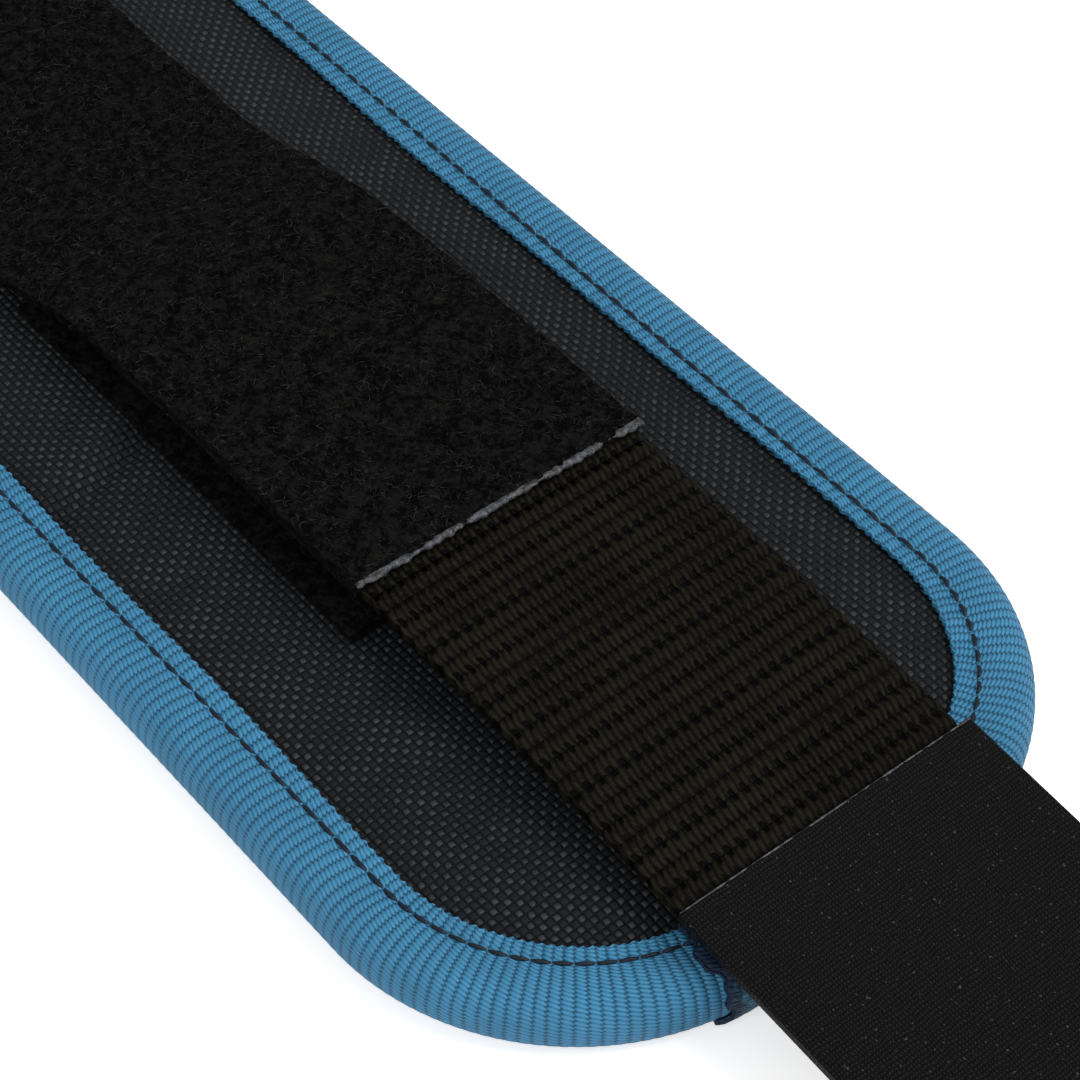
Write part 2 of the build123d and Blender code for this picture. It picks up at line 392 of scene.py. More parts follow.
for name, side in sides.items():

    def face_place(s, t):
        x0, x1 = sorted((0, side * (pad_end - leg + face_tuck)))
        x = x0 + s * (x1 - x0)
        y = (2 * t - 1) * width_at(x, leg - face_tuck)
        return x, y, face_height(x, y)

    face = sheet_of(f"{name}_face_cloth", (270, 84), face_place, half_pad, face_thick)
    dress(face, face_finish, f"{name}_face", "centre_face")
    fold_with_pad(face, side)

# ---------------------------------------------------------------- lining
# Soft knitted lining on the wearer's side, cut like the face and lying on the
# table, its edges under the binding's lower leg.
lining_thick = 0.6 * MM
lining_belly = 0.9 * MM  # it rises this much towards the binding
lining_finish = Finish("knitted lining", Roughness=0.85)
place, (x, y, _) = lining_finish.split("Object")
knit = abs(x.wave(1.4) * y.wave(1.0, 0.7)) ** 0.7
tone = lining_finish.mix(knit, (0.012, 0.012, 0.014), (0.045, 0.045, 0.05))
lining_finish.paint("Base Color", tone)
lining_finish.bump(knit, 0.35)
for name, side in sides.items():

    def lining_place(s, t):
        x0, x1 = sorted((0, side * (pad_end - leg + face_tuck)))
        x = x0 + s * (x1 - x0)
        y = (1 - 2 * t) * width_at(x, leg - face_tuck)
        inside = edge_distance(x, y) - leg
        belly = lining_belly * np.exp(-np.maximum(inside, -leg / 2) / (5 * MM))
        channel = channel_depth * np.exp(-(((np.abs(x) - fold_x) / channel_width) ** 2))
        return x, y, 0.05 * MM + belly + channel

    lining = sheet_of(f"{name}_lining_cloth", (180, 60), lining_place, half_pad, lining_thick)
    dress(lining, lining_finish, f"{name}_lining", "centre_lining")
    fold_with_pad(lining, side)

# ---------------------------------------------------------------- binding tape
# Teal grosgrain tape, folded over the pad's raw edge and sewn through both legs.
# Its ribs cross the tape, and its woven edge is lightly scalloped.
rib_pitch = 1.75  # mm
yarn_pitch = 0.62  # mm
binding_thick = 0.7 * MM
binding_step = 0.44 * MM  # between the mesh's rows
seam_in = 8.2 * MM  # from the pad's edge to the seam
stitch_pitch = 3.5 * MM
straight_run = pad_end - end_radius
corner_run = end_radius * math.pi / 2
end_run = 2 * (half_width - end_radius)
binding_run = 2 * straight_run + 2 * corner_run + end_run


def round_the_pad(d):
    """Point and outward direction on the right half's outline.

    The way d runs along it from the middle line, round the end and back.
    """
    marks = np.cumsum([0, straight_run, corner_run, end_run, corner_run])
    d = np.asarray(d, float)
    angle = np.pi / 2 - np.clip(d - marks[1], 0, corner_run) / end_radius
    angle = angle - np.clip(d - marks[3], 0, corner_run) / end_radius
    x = straight_run * np.clip(d / straight_run, 0, 1)
    x = x - np.clip(d - marks[4], 0, straight_run)
    y = (half_width - end_radius) - np.clip(d - marks[2], 0, end_run)
    out_x, out_y = np.cos(angle), np.sin(angle)
    return x + end_radius * out_x, y + end_radius * out_y, out_x, out_y


# The tape's section, from its inner edge on the face, round the pad's edge, to
# its inner edge on the lining: distance in from the edge, and height.
section_in = np.array(
    [11.0, 9.4, 8.2, 7.0, 5.2, 3.4, 1.9, 0.75, 0.15, 0.0, 0.15, 0.75, 1.9, 3.4, 6.0, 8.5, 11.0])
section_z = np.array(
    [9.3, 9.32, 9.25, 9.5, 9.72, 9.62, 9.15, 8.1, 6.6, 4.9, 3.2, 1.8, 0.72, 0.15, 0.0, 0.0, 0.0])


def way_along(*coordinates):
    """How far along a line of points each of them lies."""
    return np.concatenate([[0], np.cumsum(np.hypot(*(np.diff(c) for c in coordinates)))])


section_way = way_along(section_in, section_z)
tape_width = section_way[-1] * MM


def binding_place(side, from_d, to_d, lift=0.0):
    """The tape's outer surface from from_d to to_d along the outline, lifted off the pad."""

    def place(s, t):
        d = from_d + s * (to_d - from_d)
        w = t * section_way[-1]
        inset, z = (np.interp(w, section_way, c) * MM for c in (section_in, section_z))
        slope_in, slope_z = (
            np.interp(w + 0.3, section_way, c) - np.interp(w - 0.3, section_way, c)
            for c in (section_in, section_z))
        run = np.hypot(slope_in, slope_z) + 1e-9
        out, up = -slope_z / run, -slope_in / run
        scallop = 0.2 * MM * np.cos(2 * np.pi * d / (rib_pitch * MM)) * np.exp(-w / 0.7)
        pucker = 0.13 * MM * np.cos(2 * np.pi * d / stitch_pitch)
        pucker = pucker * np.exp(-(((w - 1.4) / 1.4) ** 2))
        wander = 0.25 * MM * np.sin(d / (23 * MM)) + 0.18 * MM * np.sin(d / (9.7 * MM) + 2)
        groove = -0.32 * MM * np.exp(-(((inset / MM - seam_in / MM) / 0.55) ** 2)) * (w < 6)
        rib = 0.06 * MM * (np.abs(np.sin(np.pi * d / (rib_pitch * MM))) - 0.5)
        height = lift + rib + groove + pucker
        x, y, out_x, out_y = round_the_pad(d)
        inset = inset + (scallop + wander * np.exp(-w / 4))
        x, y = x - out_x * inset, y - out_y * inset
        x, y = x + out_x * out * height, y + out_y * out * height
        return side * x, side * y, np.maximum(z + up * height, 0)

    return place


def grosgrain(name, crest, valley):
    """Rep weave: ribs across the tape, each a row of leaning floats, with gaps between. Its colour
    carries painted shade in the valleys and gaps, and a painted highlight on the floats.

    Gives the finish, its place, the way along the tape, the relief and the colour.
    """
    finish = Finish(name, Roughness=0.55).shine(0.22)
    _, (u, v, _) = finish.split("UV")
    place, _ = finish.split("Object")
    u = u + finish.noise(place, 5.0) * 0.5
    rib = u.wave(rib_pitch)
    body = abs(rib) ** 0.7
    count, local = (u / rib_pitch).math("FLOOR"), (u / rib_pitch).math("FRACT")
    leaning = v + local * 0.5 + count * 0.27
    float_up = abs(leaning.wave(yarn_pitch)) ** 0.7
    fuzz = finish.noise(place, 0.22, 3.0)
    patchy = finish.noise(place, 8.0, 3.0)
    relief = body * (0.45 + 0.55 * float_up)
    gap = (1 - abs(rib)).ramp(0.2, 0.7) * (1 - float_up).ramp(0.12, 0.6)
    # Painted light and shade: the crest colour on the ribs' tops, the darker valley colour between
    # them.
    tone = finish.mix(relief.ramp(-0.1, 0.65), valley, crest)
    # Painted highlight: light teal on the floats.
    tone = finish.mix(0.5 * fuzz * float_up, tone, (0.10, 0.32, 0.50))
    tone = finish.mix(patchy.ramp(0.35, 0.75) * 0.3, tone, (0.022, 0.115, 0.21))
    # Painted shade: dark in the gaps between the ribs.
    tone = finish.mix(gap * 0.68, tone, (0.006, 0.04, 0.085))
    finish.paint("Roughness", 0.5 + 0.2 * fuzz)
    return finish, place, u, relief - 0.4 * gap + 0.15 * fuzz, tone


weave_depth = 0.34  # mm
# The crest colour is the lit rib tops; the darker valley colour is painted shade.
binding_finish, _, _, relief, tone = grosgrain(
    "teal grosgrain tape", (0.034, 0.19, 0.355), (0.019, 0.12, 0.23))
binding_finish.paint("Base Color", tone)
binding_finish.bump(relief, weave_depth)
for name, side in sides.items():
    steps = (round(binding_run / binding_step), 22)
    flat = (binding_run, tape_width)
    place = binding_place(side, 0, binding_run)
    binding = sheet_of(f"{name}_binding_tape", steps, place, flat, binding_thick)
    dress(binding, binding_finish, f"{name}_binding", "centre_binding")
    fold_with_pad(binding, side)

# The tape's end is lapped over its start at the tail end of the belt, under the
# loose strap, and its cut edge is melted dark.
lap_start, lap_end = 362 * MM, 390 * MM
lap_length = lap_end - lap_start
lap_lift = 0.85 * MM


def lap_place(s, t):
    """The lapped end: its cut is ragged, and it curls a little off the pad."""
    fray = (1.1 * np.sin(9 * t) + 0.6 * np.sin(29 * t + 1) + 0.3 * np.sin(71 * t)) * MM * s**3
    curl = 0.7 * MM * s**4 * (0.6 + 0.4 * np.sin(7 * t + 1)) * (1 - t)
    return binding_place(1, lap_start + fray, lap_end + fray, lap_lift + curl)(s, t)


steps = (round(lap_length / binding_step), 66)
lap = sheet_of("binding_lap", steps, lap_place, (lap_length, tape_width), binding_thick)
# The crest colour is the lit rib tops; the darker valley colour is painted shade.
lap_finish, place, u, relief, tone = grosgrain(
    "melted tape end", (0.045, 0.18, 0.30), (0.015, 0.085, 0.16))
ragged = u + lap_finish.noise(place, 1.3, 3.0) * 5.0
melt = ragged.ramp(lap_length / MM - 1.5, lap_length / MM + 1.8)
lap_finish.paint("Base Color", lap_finish.mix(melt, tone, (0.006, 0.018, 0.045)))
lap_finish.bump(relief + melt * lap_finish.noise(place, 0.7, 3.0), weave_depth)
dress(lap, lap_finish)
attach(lap, "right_wing")

# ---------------------------------------------------------------- seams
# Dark bonded thread. Each lockstitch is a short hump that dives into the cloth at
# its needle holes, so a seam is one thread laid along its line.
thread_radius = 0.27 * MM
top_seam_z, under_seam_z = 9.18 * MM, 0.32 * MM
thread_finish = Finish("navy bonded thread", Roughness=0.42).shine(0.2)
place, _ = thread_finish.split("Object")
twist = thread_finish.noise(place, 0.35, 2.0)
tone = thread_finish.mix(twist, (0.003, 0.005, 0.009), (0.012, 0.018, 0.03))
thread_finish.paint("Base Color", tone)
thread_finish.bump(twist, 0.08)


def sewn(name, line, length, pitch=stitch_pitch, up=1):
    """A seam's thread on line(d), for d from 0 to length, with up the side that shows."""
    pitch = length / max(round(length / pitch), 1)

    def thread_place(s, t):
        d = s * length
        step = 0.1 * MM
        x, y, z = line(d)
        ahead, behind = line(np.minimum(d + step, length)), line(np.maximum(d - step, 0))
        run_x, run_y = ahead[0] - behind[0], ahead[1] - behind[1]
        run = np.hypot(run_x, run_y) + 1e-12
        hump = np.abs(np.sin(np.pi * d / pitch)) ** 0.6
        other_way = np.sign(np.cos(np.pi * (np.floor(d / pitch) + 0.01)))
        aside = 0.12 * MM * np.sin(np.pi * d / pitch) * other_way
        turn = 2 * np.pi * t
        out = thread_radius * 1.15 * np.cos(turn) + aside
        high = up * ((hump - 0.72) * 0.62 * MM + thread_radius * np.sin(turn) * up)
        return x - run_y / run * out, y + run_x / run * out, z + high

    steps = (round(length / pitch) * 8, 6)
    seam = closed(sheet_of(name, steps, thread_place, (length, 2 * math.pi * thread_radius)))
    dress(seam, thread_finish)
    return seam


def binding_seam(side, height):
    """The line of a half's seam, which wanders a little."""

    def line(d):
        x, y, out_x, out_y = round_the_pad(d)
        inset = seam_in + 0.25 * MM * np.sin(d / (31 * MM))
        return side * (x - out_x * inset), side * (y - out_y * inset), height + 0 * d

    return line


for name, side in sides.items():
    top_seam = sewn(f"{name}_binding_stitches", binding_seam(side, top_seam_z), binding_run)
    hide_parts(f"{name}_binding_seam", "centre_binding_seam")
    fold_with_pad(top_seam, side)
    under_line = binding_seam(side, under_seam_z)
    under_seam = sewn(f"{name}_binding_understitches", under_line, binding_run, up=-1)
    fold_with_pad(under_seam, side)

# ---------------------------------------------------------------- strap
# Black webbing along the belt's middle, sewn to the pad as far as its tail end,
# where it comes away and runs on as the loose strap. Ribs cross it.
strap_lo, strap_hi = (Vector(c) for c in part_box("centre_strap"))
free_lo, free_hi = (Vector(c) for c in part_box("free_strap"))
tail_lo, tail_hi = (Vector(c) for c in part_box("tail_strap"))
hooks_lo, hooks_hi = (Vector(c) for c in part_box("under_hook_tape"))
strap_half = strap_hi.y
strap_thick = strap_hi.z - strap_lo.z
lift_x = (free_lo.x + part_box("right_strap")[1][0]) / 2
tail_x = (free_hi.x + tail_lo.x) / 2
loose_z = hooks_hi.z  # underside of the loose strap
tail_slope = math.tan(math.radians(4.437))  # the tail drops from the pad to the table
web_pitch = 3.04  # mm from rib to rib
web_finish = Finish("black webbing", Roughness=0.45).shine(0.03)
_, (u, v, _) = web_finish.split("UV")
place, _ = web_finish.split("Object")
strands = web_finish.noise(place, 0.28, 3.0)
cloudy = web_finish.noise(place, 11.0, 3.0)
rib = u.wave(web_pitch)
body = abs(rib) ** 0.6
count, local = (u / web_pitch).math("FLOOR"), (u / web_pitch).math("FRACT")
wander = web_finish.noise(place, 4.0) * 0.4
leaning = v + local * 0.55 + count * 0.3 + wander
yarn = abs(leaning.wave(1.0)) ** 0.7
upright = v + wander
even = u.wave(web_pitch, math.pi / 2).ramp(-0.05, 0.05)
gate = abs(upright.wave(2.0)) * even
gate = gate + abs(upright.wave(2.0, math.pi / 2)) * 0.88 * (1 - even)
hole = (1 - abs(rib)).ramp(0.05, 0.4) * gate.ramp(0.76, 0.96)
# Painted light and shade: the rib tops get a lit colour, the valleys near black.
lit = web_finish.mix(cloudy.ramp(0.3, 0.7), (0.0042, 0.0038, 0.0028), (0.0088, 0.0076, 0.0047))
crest = (body * (0.4 + 0.6 * yarn)).ramp(0.15, 0.85)
tone = web_finish.mix(crest, (0.0013, 0.0012, 0.0011), lit)
# Painted highlight: olive-brown on the yarn floats.
tone = web_finish.mix((strands * yarn).ramp(0.35, 0.65) * 0.55, tone, (0.023, 0.0195, 0.011))
# Painted shade: the weave's holes are near black.
web_finish.paint("Base Color", web_finish.mix(hole, tone, (0.0002, 0.0002, 0.0003)))
web_finish.paint("Roughness", 0.38 + 0.25 * strands)
web_finish.bump(body * 0.45 + 0.4 * yarn * body + 0.15 * strands - 0.8 * hole, 0.5)


def strap_underside(x):
    """Height of the strap's underside: on the pad, up, level, then down to the table."""
    ramp = rise(lift_x - 3 * MM, lift_x + 34 * MM, x)
    height = pad_top + (loose_z - pad_top) * ramp + 0.2 * MM * rise(315 * MM, 321 * MM, -x)
    past = x - tail_x
    bend = 5 * MM
    fall = np.where(past > bend, past, np.where(past < -bend, 0, (past + bend) ** 2 / (4 * bend)))
    return height - fall * tail_slope


def strap_sway(x):
    """The loose strap drifts a little to one side of the belt's middle."""
    return 2.4 * MM * rise(lift_x, lift_x + 60 * MM, x)


def strap_place(x0, x1, half, thick, lower, wave=0.0, tooth=0.0):
    """A run of tape on the strap's line, its top a thickness above lower(x).

    Its ribs stand up by wave, and its edges are notched by tooth.
    """

    def place(s, t):
        x = x0 + s * (x1 - x0)
        across = 2 * t - 1
        beat = np.abs(np.sin(np.pi * x / (web_pitch * MM)))
        rounded = 0.28 * MM * np.abs(across) ** 10
        y = across * (half + tooth * (beat - 0.6)) + strap_sway(x)
        return x, y, lower(x) + thick - rounded + wave * (beat - 0.6)

    return place


def webbing(name, x0, x1):
    """A length of the strap, from x0 to x1."""
    steps = (round((x1 - x0) / (0.38 * MM)), 20)
    place = strap_place(x0, x1, strap_half, strap_thick, strap_underside, 0.16 * MM, 0.3 * MM)
    wall = strap_thick - 0.2 * MM
    piece = sheet_of(name, steps, place, (x1 - x0, 2 * strap_half), wall, begin=x0)
    return piece


strap_reach = 8 * MM  # reach on each side of the line where the strap comes away from the pad


def lift_with_strap(piece):
    """The piece's transform is baked into its mesh. The ends of the line where the strap comes away
    from the pad are worked out but not used.
    """
    start, end = (lift_x - strap_reach, 0, 0), (lift_x + strap_reach, 0, 0)
    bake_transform(piece)
    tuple(start)
    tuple(end)


strap_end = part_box("left_strap")[0][0]
# The strap is meshed in lengths, cut between ribs.
cut_a, cut_b = (round(x / web_pitch) * web_pitch * MM for x in (149, 222))
left_web = webbing("left_webbing", strap_end, 0)
fold_with_pad(dress(left_web, web_finish, "left_strap", "centre_strap"), -1)
right_web = webbing("right_webbing", 0, cut_a)
fold_with_pad(dress(right_web, web_finish, "right_strap", "centre_strap"), 1)
lift_web = webbing("lifting_webbing", cut_a, cut_b)
lift_with_strap(dress(lift_web, web_finish, "right_strap", "free_strap"))
tail_web = webbing("loose_webbing", cut_b, tail_hi.x)
dress(tail_web, web_finish, "free_strap", "tail_strap")
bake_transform(tail_web)


def box_stitch(name, node, height):
    """A sewn rectangle with both diagonals, on the node's box."""
    lo, hi = (np.array(c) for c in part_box(node))
    turn_x, turn_y = np.array([0, 1, 1, 0, 0, 1, 0, 1]), np.array([0, 0, 1, 1, 0, 1, 1, 0])
    xs, ys = lo[0] + (hi[0] - lo[0]) * turn_x, lo[1] + (hi[1] - lo[1]) * turn_y
    marks = way_along(xs, ys)

    def line(d):
        return np.interp(d, marks, xs), np.interp(d, marks, ys), height + 0 * d

    seam = sewn(name, line, marks[-1], 3 * MM)
    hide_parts(node)
    return seam


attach(box_stitch("centre_box_seam", "centre_box_stitch", strap_hi.z + 0.15 * MM), "centre")

# ---------------------------------------------------------------- loop tape
# Soft black loop, sewn on top of the strap and running out on its loose end, with
# a patch of the same tape on the pad below it. Its cut end is sealed grey.
loop_lo, loop_hi = (Vector(c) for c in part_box("centre_loop_tape"))
tape_shift = 1.5 * MM  # the cut ends of loop and hook stand this much nearer to each other
loop_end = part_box("free_loop_tape")[1][0] + tape_shift
patch_lo, patch_hi = (Vector(c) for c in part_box("pad_loop_patch"))
loop_half = loop_hi.y
loop_thick = loop_hi.z - loop_lo.z
bedded = 0.15 * MM  # a tape's underside lies this deep in what it is sewn to
loop_finish = Finish("black loop pile", Roughness=0.95).shine(0.04)
place, _ = loop_finish.split("Object")
clumps = loop_finish.noise(place, 1.9, 3.0)
tufts = loop_finish.noise(place, 0.8, 3.0)
curls = loop_finish.noise(place, 0.25, 4.0)
mat = clumps * 0.35 + tufts * 0.35 + curls * 0.3
tone = loop_finish.mix(mat.ramp(0.43, 0.6), (0.0006, 0.0006, 0.0007), (0.0095, 0.0089, 0.0084))
loop_finish.paint("Base Color", tone)
loop_finish.bump(mat, 1.5)
fibre_finish = Finish("loose black fibre", Roughness=0.8).shine(0.1)
place, _ = fibre_finish.split("Object")
shade = fibre_finish.noise(place, 0.9, 2.0)
tone = fibre_finish.mix(shade.ramp(0.4, 0.7), (0.004, 0.0039, 0.004), (0.034, 0.032, 0.030))
fibre_finish.paint("Base Color", tone)


def on_strap(x):
    """Height of the bottom of a tape that is sewn on the strap."""
    return strap_underside(x) + strap_thick - bedded


def pile(name, x0, x1):
    """A length of the loop tape on the strap, its pile lumpy and its edges uneven."""
    rng = np.random.default_rng(7)
    swell = rng.uniform(0, 2 * np.pi, 8)
    flat = strap_place(x0, x1, loop_half, loop_thick + bedded, on_strap)

    def place(s, t):
        x, y, z = flat(s, t)
        lump = 0
        for k in range(6):
            bent = 2.2 * np.sin(y / ((3.1 + 0.5 * k) * MM) + swell[7 - k])
            lump = lump + np.sin(x / ((2.1 + 0.7 * k) * MM) + swell[k] + bent)
        edge = 0.12 * MM * np.sin(x / (0.83 * MM)) * np.abs(2 * t - 1) ** 12
        return x, y + edge * np.sign(2 * t - 1), z + 0.05 * MM * lump

    steps = (round((x1 - x0) / (0.9 * MM)), 56)
    piece = sheet_of(name, steps, place, (x1 - x0, 2 * loop_half), loop_thick, begin=x0)
    dress(piece, loop_finish)
    return piece


def fuzz(name, x0, x1, top, seed, per_square=0.85):
    """Fine nylon loops that stand out of the pile, each a short bowed fibre."""
    rng = np.random.default_rng(seed)
    count = int((x1 - x0) * 2 * loop_half / MM**2 * per_square)
    clear_selection()
    bpy.ops.mesh.primitive_grid_add(x_subdivisions=4, y_subdivisions=3, size=1)
    fibres = bpy.context.object
    fibres.name = name
    copies = fibres.modifiers.new("copies", "ARRAY")
    copies.count = count
    copies.relative_offset_displace = (0, 0, 0)
    bpy.ops.object.modifier_apply(modifier=copies.name)
    points = np.empty(len(fibres.data.vertices) * 3)
    fibres.data.vertices.foreach_get("co", points)
    grid = points.reshape(count, -1, 3) + 0.5
    s, around = grid[:, :, 0], grid[:, :, 1] * 2 * np.pi

    def each(low, high):
        return rng.uniform(low, high, (count, 1))

    heading, length = each(0, 2 * np.pi), each(0.7, 2.4) * MM
    bow, stand = each(-0.6, 0.6) * MM, each(0.05, 0.42) * MM
    mid_x, mid_y = x0 + each(0, 1) * (x1 - x0), each(-1, 1) * (loop_half - 0.1 * MM)
    along, aside = length * (s - 0.5), bow * np.sin(np.pi * s) + 0.15 * MM * np.sin(7 * s + heading)
    radius = 0.042 * MM
    aside = aside + radius * np.cos(around)
    x = mid_x + along * np.cos(heading) - aside * np.sin(heading)
    y = mid_y + along * np.sin(heading) + aside * np.cos(heading)
    x = np.clip(x, x0, x1)
    z = top(mid_x) + stand * (np.sin(np.pi * s) - 0.25) + radius * np.sin(around)
    laid = np.stack([x, y + strap_sway(mid_x), z], axis=2)
    fibres.data.vertices.foreach_set("co", laid.ravel())
    fibres.data.update()
    dress(closed(fibres), fibre_finish)
    return fibres


def pile_top(x):
    """Height of the top of the loop tape on the strap."""
    return on_strap(x) + loop_thick + bedded


sewn_pile = pile("sewn_loop_tape", loop_lo.x, cut_a)
fold_with_pad(sewn_pile, 1)
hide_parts("centre_loop_tape", "right_loop_tape")
lift_pile = pile("lifting_loop_tape", cut_a, cut_b)
lift_with_strap(lift_pile)
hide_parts("right_loop_tape", "free_loop_tape")
end_pile = pile("loose_loop_tape", cut_b, loop_end)
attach(end_pile, "loose_strap")
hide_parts("free_loop_tape")

fold_with_pad(fuzz("sewn_loop_fuzz", loop_lo.x, cut_a, pile_top, 11), 1)
lift_with_strap(fuzz("lifting_loop_fuzz", cut_a, cut_b, pile_top, 12))
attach(fuzz("loose_loop_fuzz", cut_b, loop_end, pile_top, 13), "loose_strap")


def patch_place(s, t):
    """The top of the patch on the pad, under the loose strap."""
    x = patch_lo.x + s * (patch_hi.x - patch_lo.x)
    y = (2 * t - 1) * loop_half
    lump = np.sin(x / (2.3 * MM) + 2 * np.sin(y / (3.3 * MM)))
    lump = lump + np.sin(x / (3.7 * MM) - 2 * np.sin(y / (2.4 * MM)))
    return x, y, patch_hi.z + 0.06 * MM * lump - 0.25 * MM * np.abs(2 * t - 1) ** 10


flat = (patch_hi.x - patch_lo.x, 2 * loop_half)
patch = sheet_of("pad_loop_pile", (92, 56), patch_place, flat, 1.4 * MM)
dress(patch, loop_finish, "pad_loop_patch")
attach(patch, "right_wing")

# The sealed edge of the loop tape: a thin ragged bead of melted grey nylon.
bead_finish = Finish("heat-sealed edge", Roughness=0.4)
place, _ = bead_finish.split("Object")
ragged = bead_finish.noise(place, 0.9, 4.0)
tone = bead_finish.mix(ragged.ramp(0.35, 0.72), (0.008, 0.009, 0.012), (0.085, 0.09, 0.10))
bead_finish.paint("Base Color", tone)
bead_finish.bump(ragged, 0.5)


def bead(name, x, half, top, radius, seed):
    """A ragged thread of melted nylon across a tape's end, on top(x)."""
    rng = np.random.default_rng(seed)
    phases = rng.uniform(0, 2 * np.pi, 6)

    def place(s, t):
        y = (2 * s - 1) * half
        rough = sum(np.sin(y / ((0.3 + 0.37 * k) * MM) + phases[k]) for k in range(6)) / 4
        turn = 2 * np.pi * t
        thick = radius * (1 + 0.45 * rough)
        return (x + 0.45 * radius * rough + thick * np.cos(turn), y + strap_sway(x),
                top(x) - radius * 0.45 + 0.7 * thick * np.sin(turn) + 0.12 * MM * rough)

    piece = closed(sheet_of(name, (340, 8), place, (2 * half, 2 * math.pi * radius)))
    return dress(piece, bead_finish)


end_bead = bead("loop_sealed_edge", loop_end, loop_half - 0.2 * MM, pile_top, 0.6 * MM, 3)
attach(end_bead, "loose_strap")

# ---------------------------------------------------------------- hook tapes
# Stiff black hook: one under the loose strap that presses on the pad's patch, and
# a long one on the strap's tail, its hooks a fine even grain.
tape_lo, tape_hi = (Vector(c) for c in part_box("tail_hook_tape"))
hook_half = tape_hi.y
hook_thick = 1.5 * MM
under_hook_thick = 1.2 * MM
hook_finish = Finish("black hook tape", Roughness=0.6).shine(0.07)
_, (u, v, _) = hook_finish.split("UV")
place, _ = hook_finish.split("Object")
jitter = hook_finish.noise(place, 2.5, 2.0) * 0.9
rows = abs((u + jitter).wave(0.62)) * abs((v + jitter).wave(0.5))
grain = hook_finish.noise(place, 0.4, 4.0)
tips = (rows * 0.6 + grain * 0.6).ramp(0.35, 0.85)
speck = hook_finish.noise(place, 0.45, 0.0).ramp(0.78, 0.84) * 0.45
tone = hook_finish.mix(tips, (0.002, 0.002, 0.0022), (0.0105, 0.0102, 0.0102))
hook_finish.paint("Base Color", hook_finish.mix(speck, tone, (0.12, 0.12, 0.12)))
hook_finish.paint("Roughness", 0.45 + 0.3 * grain)
hook_finish.bump(rows * 0.6 + 0.5 * grain, 0.4)
tape_begin = tape_lo.x - tape_shift
flat = (tape_hi.x - tape_lo.x, 2 * hook_half)
place = strap_place(tape_begin, tape_hi.x, hook_half, hook_thick + bedded, on_strap)
hooks = sheet_of("tail_hooks", (320, 24), place, flat, hook_thick)
dress(hooks, hook_finish, "tail_hook_tape")
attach(hooks, "tail")


def hook_top(x):
    """Height of the top of the hook tape on the strap's tail."""
    return on_strap(x) + hook_thick + bedded


hook_bead = bead("hook_sealed_edge", tape_begin, hook_half - 0.2 * MM, hook_top, 0.13 * MM, 5)
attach(hook_bead, "tail")


def under_hook_place(s, t):
    """The underside of the hook tape that hangs below the loose strap."""
    x = hooks_lo.x + s * (hooks_hi.x - hooks_lo.x)
    y = (1 - 2 * t) * hooks_hi.y
    return x, y + strap_sway(x), hooks_lo.z + 0 * x


flat = (hooks_hi.x - hooks_lo.x, 2 * hooks_hi.y)
under_hooks = sheet_of("under_hooks", (120, 24), under_hook_place, flat, under_hook_thick)
dress(under_hooks, hook_finish, "under_hook_tape")
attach(under_hooks, "loose_strap")

# ---------------------------------------------------------------- ring tab
# The same webbing, doubled round the ring's bar and sewn down on the far end of
# the strap, so that the ring swings in the loop.
# All in millimetres: the ring's bar, then the tab's middle line from its upper
# end on the strap, round the bar and back below to its lower end.
bar_x, bar_z = -387.74, 5.134
bar_radius = 2.5
tab_thick = 1.7
wrap = bar_radius + 0.1 + tab_thick
turn = np.radians(np.linspace(84, 276, 15))
tab_line_x = np.concatenate([[-293, -306, -324, -331, -337, -350, -368],
                             bar_x + wrap * np.cos(turn), [-376, -360, -345, -334.2]])
tab_line_z = np.concatenate([[13.2, 13.2, 13.2, 13.1, 12.7, 11.6, 10.2],
                             bar_z + wrap * np.sin(turn), [2.0, 4.5, 7.3, 9.4]])
tab_marks = way_along(tab_line_x, tab_line_z)
tab_length = tab_marks[-1]


def tab_place(s, t):
    """The tab's outer surface, from its upper end to its lower one."""
    w = s * tab_length
    x = np.interp(w, tab_marks, tab_line_x)
    z = np.interp(w, tab_marks, tab_line_z)
    beat = np.abs(np.sin(np.pi * w / web_pitch))
    y = (1 - 2 * t) * (strap_half - 0.3 * MM + 0.25 * MM * (beat - 0.6))
    return x * MM, y, z * MM


steps, flat = (round(tab_length / 0.5), 20), (tab_length * MM, 2 * strap_half)
tab = sheet_of("ring_tab_webbing", steps, tab_place, flat, tab_thick * MM)
dress(tab, web_finish, "ring_tab")
tab_seam_z = 13.3 * MM
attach(box_stitch("left_box_seam", "left_box_stitch", tab_seam_z), "left_wing")
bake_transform(tab)

# ---------------------------------------------------------------- ring
# Welded steel wire ring, nickel plated and brushed by wear. The tab's loop holds
# its bar.
steel_finish = Finish("nickel-plated steel", Metallic=1.0, Roughness=0.25)
place, (x, y, z) = steel_finish.split("Object")
drawn = steel_finish.add("CombineXYZ", None, [x * 0.3, y * 0.3, z * 2.0])
scratch = steel_finish.noise(drawn, 0.5, 4.0)
tone = steel_finish.mix(scratch, (0.50, 0.49, 0.47), (0.66, 0.65, 0.63))
steel_finish.paint("Base Color", tone)
steel_finish.paint("Roughness", 0.2 + 0.25 * scratch)
steel_finish.bump(scratch, 0.02)
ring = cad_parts["ring"]
ring.data.materials.clear()
ring.data.materials.append(steel_finish.material)

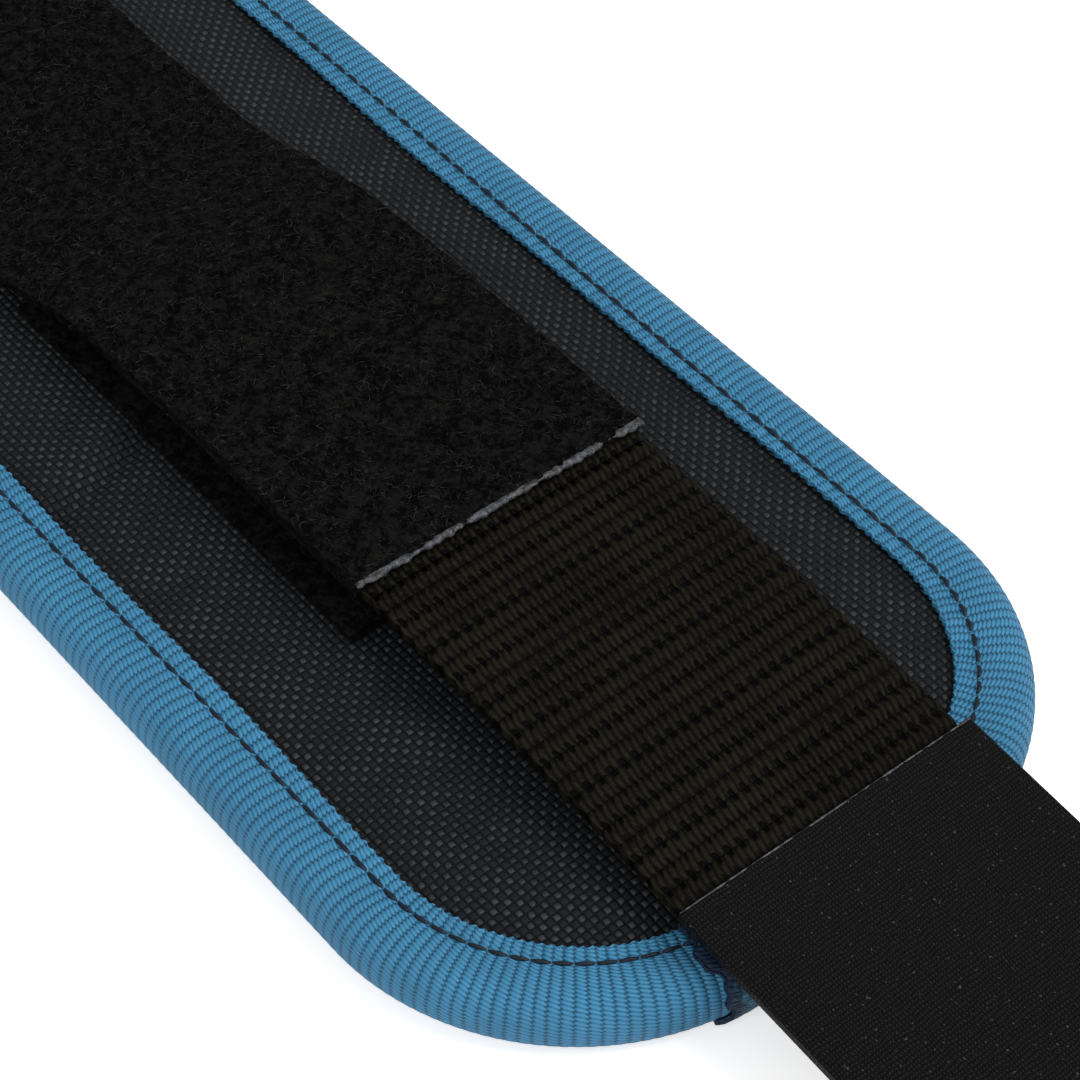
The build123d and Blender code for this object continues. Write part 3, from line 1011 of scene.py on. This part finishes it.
# ---------------------------------------------------------------- hand grips
# Three webbing handles. Each is one length with its ends turned in and sewn to
# the pad or strap, and a padded cloth sleeve round its top.
grip_half = 12.5 * MM
grip_thick = 1.7 * MM
grip_bend = 5 * MM  # radius where a leg leaves its foot
grip_corner = 18 * MM  # radius at the arch's shoulders
cross_foot, long_foot = 13.5 * MM, 16 * MM
flop_height = 14.6 * MM  # height, over its feet, of a line across the grip whose ends are worked out but not used
flop_reach = 10 * MM
foot_in = 2 * MM  # from a foot's edges to its seam
foot_pitch = 2.6 * MM
sleeve_round = 70 * MM  # once round a sleeve


def grip_line(half, base, top, foot):
    """Points of a grip's webbing from foot to foot: distance out, height, and way along."""
    quarter = np.linspace(0, np.pi / 2, 10)
    leg_out = half - grip_bend + grip_bend * np.sin(quarter)
    leg_up = base + grip_bend * (1 - np.cos(quarter))
    top_out = half - grip_corner + grip_corner * np.cos(quarter)
    top_up = top - grip_corner + grip_corner * np.sin(quarter)
    out = np.concatenate([[half - foot], leg_out, top_out])
    up = np.concatenate([[base], leg_up, top_up])
    out, up = np.concatenate([out, -out[::-1]]), np.concatenate([up, up[::-1]])
    return out, up, way_along(out, up)


def turned(x, y, centre_x, along):
    """Across the belt, or turned to run along it."""
    return (centre_x + x, y) if along else (centre_x - y, x)


def hand_grip(name, along, body, parent):
    """A whole grip: webbing, the seams on its feet, and its sleeve."""
    lo, hi = (Vector(c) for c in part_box(f"{name}_webbing"))
    sleeve_lo, sleeve_hi = (Vector(c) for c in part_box(f"{name}_sleeve"))
    centre_x = (lo.x + hi.x) / 2
    half = (hi.x - lo.x) / 2 if along else hi.y
    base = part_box(f"{name}_feet")[0][2]
    foot = long_foot if along else cross_foot
    out, up, marks = grip_line(half, base, hi.z, foot)
    length = marks[-1]

    def arch(w):
        return np.interp(w, marks, out), np.interp(w, marks, up)

    def web_place(s, t):
        w = s * length
        x, z = arch(w)
        beat = np.abs(np.sin(np.pi * w / (web_pitch * MM)))
        y = (1 - 2 * t) * (grip_half + 0.22 * MM * (beat - 0.6))
        return *turned(x, y, centre_x, along), z

    steps = (round(length / (0.7 * MM)), 14)
    web = sheet_of(f"{name}_band", steps, web_place, (length, 2 * grip_half), grip_thick)
    dress(web, web_finish, f"{name}_webbing", f"{name}_feet")
    flop_z = base + flop_height
    start, end = (centre_x, 0, flop_z - flop_reach), (centre_x, 0, flop_z + flop_reach)
    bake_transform(web)
    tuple(start)
    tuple(end)

    for letter, way in (("a", -1), ("b", 1)):
        outs = way * (half - foot + np.array([2, 2, 4.5, 4.5, 7, 7]) * MM)
        acrosses = (grip_half - foot_in) * np.array([-1, 1, 1, -1, -1, 1])
        foot_marks = way_along(outs, acrosses)

        def foot_line(d):
            at_out, at_across = (np.interp(d, foot_marks, c) for c in (outs, acrosses))
            x, y = turned(at_out, at_across, centre_x, along)
            return x, y, base + grip_thick + 0.12 * MM + 0 * d

        seam = sewn(f"{name}_foot_seam_{letter}", foot_line, foot_marks[-1], foot_pitch)
        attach(seam, parent)

    sleeve_half = (sleeve_hi.x - sleeve_lo.x) / 2 if along else sleeve_hi.y
    middle = length / 2

    def sleeve_place(s, t):
        way = 2 * s - 1
        x, z = arch(middle + way * (sleeve_half + 3 * MM))
        swell = (1 - np.abs(way) ** 9) ** 0.5
        turn = 2 * np.pi * t
        wide = grip_half + (0.4 + 1.4 * swell) * MM
        deep = grip_thick / 2 + (0.25 + 2.7 * swell) * MM
        pleat = 0.1 * MM * np.sin(way * 40) * np.abs(way) ** 4
        y = wide * np.sign(np.cos(turn)) * np.abs(np.cos(turn)) ** 0.6
        high = (deep + pleat) * np.sign(np.sin(turn)) * np.abs(np.sin(turn)) ** 0.75
        return *turned(x, y, centre_x, along), z - grip_thick / 2 + high

    flat = (2 * sleeve_half, sleeve_round)
    sleeve = closed(sheet_of(f"{name}_padded_sleeve", (90, 48), sleeve_place, flat))
    dress(sleeve, face_finish, f"{name}_sleeve")
    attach(sleeve, body)


hand_grip("left_grip", False, "left_grip", "left_wing")
hand_grip("right_grip", False, "right_grip", "centre")
hand_grip("long_grip", True, "long_grip", "centre")
